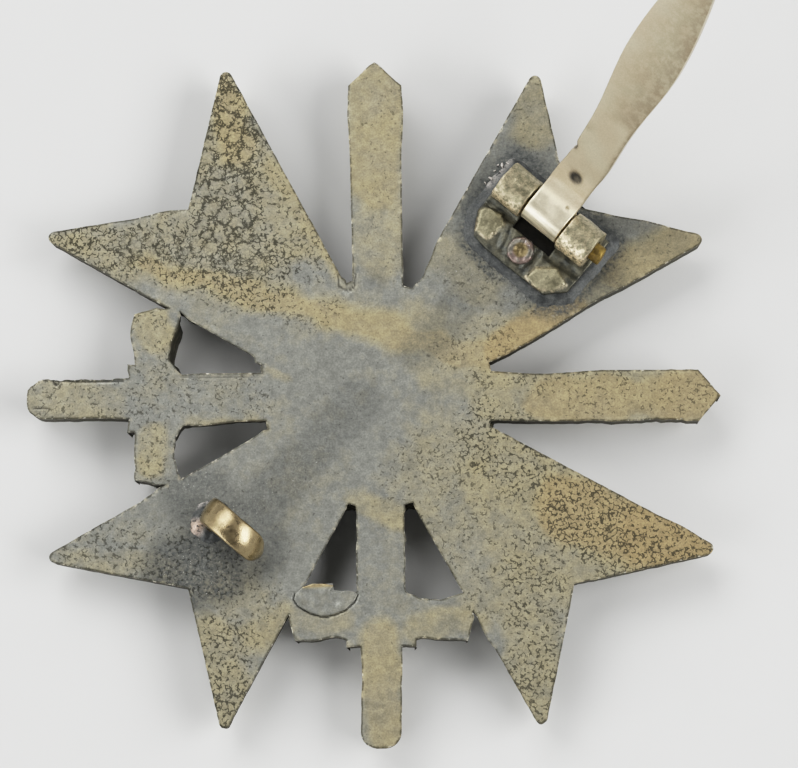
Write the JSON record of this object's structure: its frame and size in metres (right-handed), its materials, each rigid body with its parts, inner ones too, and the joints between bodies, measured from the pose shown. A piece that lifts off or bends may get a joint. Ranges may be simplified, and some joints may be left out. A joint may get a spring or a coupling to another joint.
{
  "type": "merit cross",
  "caption": "Zinc cross with forked arms over crossed swords, lying on its front with the pin on its back swung open.",
  "frame": {"origin": "middle of the flat boss on the front, which the cross rests on", "axes": "+Z out of the back of the cross, +X along the blade of one sword, +Y along the blade of the other"},
  "size_m": [0.0511, 0.0536, 0.035],
  "materials": {
    "zinc": "mottled grey and olive oxide with dark crackled specks",
    "solder": "dull, with bright beads",
    "tarnished_brass": "tarnished, worn bright on its edges",
    "brass": "worn bright",
    "nickel_silver": "satin, lightly stained",
    "copper_alloy": "dull, worn bright on the dome"
  },
  "bodies": {
    "cross": {"cross": "zinc", "hinge_rivet": "copper_alloy", "hinge_axle": "brass"},
    "pin": {"pin": "nickel_silver"}
  },
  "joints": [
    {"name": "pin_swing", "type": "hinge", "parent": "cross", "child": "pin", "pos_m": [0.01205, 0.0124, 0.0061], "axis": [0.766, -0.6428, 0], "range_deg": [0, 128]}
  ]
}
